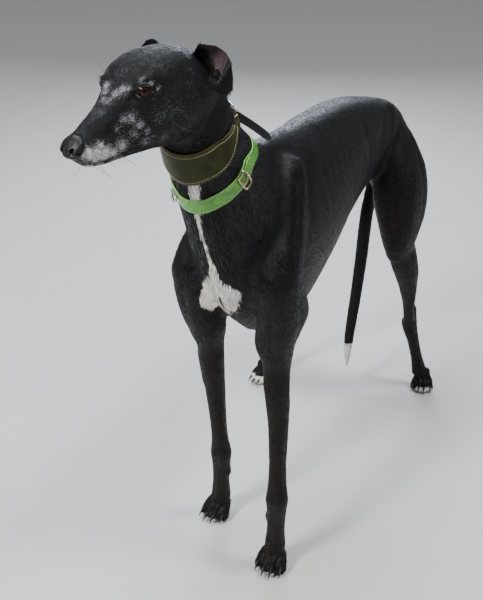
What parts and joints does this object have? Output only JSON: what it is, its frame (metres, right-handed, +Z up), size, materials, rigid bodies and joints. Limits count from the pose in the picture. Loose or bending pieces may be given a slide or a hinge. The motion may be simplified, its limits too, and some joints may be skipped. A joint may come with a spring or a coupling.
{
  "type": "standing greyhound figure",
  "caption": "Still, life-size figure of a standing greyhound on four paws, wearing a broad leather collar and a narrow buckled collar.",
  "frame": {"origin": "on the floor under the middle of the outline", "axes": "+Z up, nose to -Y, the dog's left side to +X"},
  "size_m": [0.3892, 1.0262, 0.8605],
  "materials": {
    "coat": "short black fur, soft sheen",
    "nose": "pebbled, moist",
    "eye": "wet gloss",
    "claw": "satin horn",
    "leather": "smooth, stitched edges",
    "webbing": "coated webbing, satin",
    "metal": "polished, slightly worn"
  },
  "bodies": {
    "root": {"chest": "coat", "claw_fore_left_1": "claw", "claw_fore_left_2": "claw", "claw_fore_left_3": "claw", "claw_fore_left_4": "claw", "claw_fore_right_1": "claw", "claw_fore_right_2": "claw", "claw_fore_right_3": "claw", "claw_fore_right_4": "claw", "claw_hind_left_1": "claw", "claw_hind_left_2": "claw", "claw_hind_left_3": "claw", "claw_hind_left_4": "claw", "claw_hind_right_1": "claw", "claw_hind_right_2": "claw", "claw_hind_right_3": "claw", "claw_hind_right_4": "claw", "ear_left": "coat", "ear_right": "coat", "eye_left": "eye", "eye_right": "eye", "forearm_left": "coat", "forearm_right": "coat", "gaskin_left": "coat", "gaskin_right": "coat", "green_buckle": "metal", "green_collar": "webbing", "green_end": "webbing", "green_ring": "metal", "head": "coat", "hock_left": "coat", "hock_right": "coat", "leather_buckle": "metal", "leather_collar": "leather", "leather_end": "leather", "loin": "coat", "lower_jaw": "coat", "neck": "coat", "nose": "nose", "pastern_left": "coat", "pastern_right": "coat", "paw_fore_left": "coat", "paw_fore_right": "coat", "paw_hind_left": "coat", "paw_hind_right": "coat", "rump": "coat", "shoulder_left": "coat", "shoulder_right": "coat", "tail_base": "coat", "tail_middle": "coat", "tail_tip": "coat", "thigh_left": "coat", "thigh_right": "coat"}
  },
  "joints": []
}
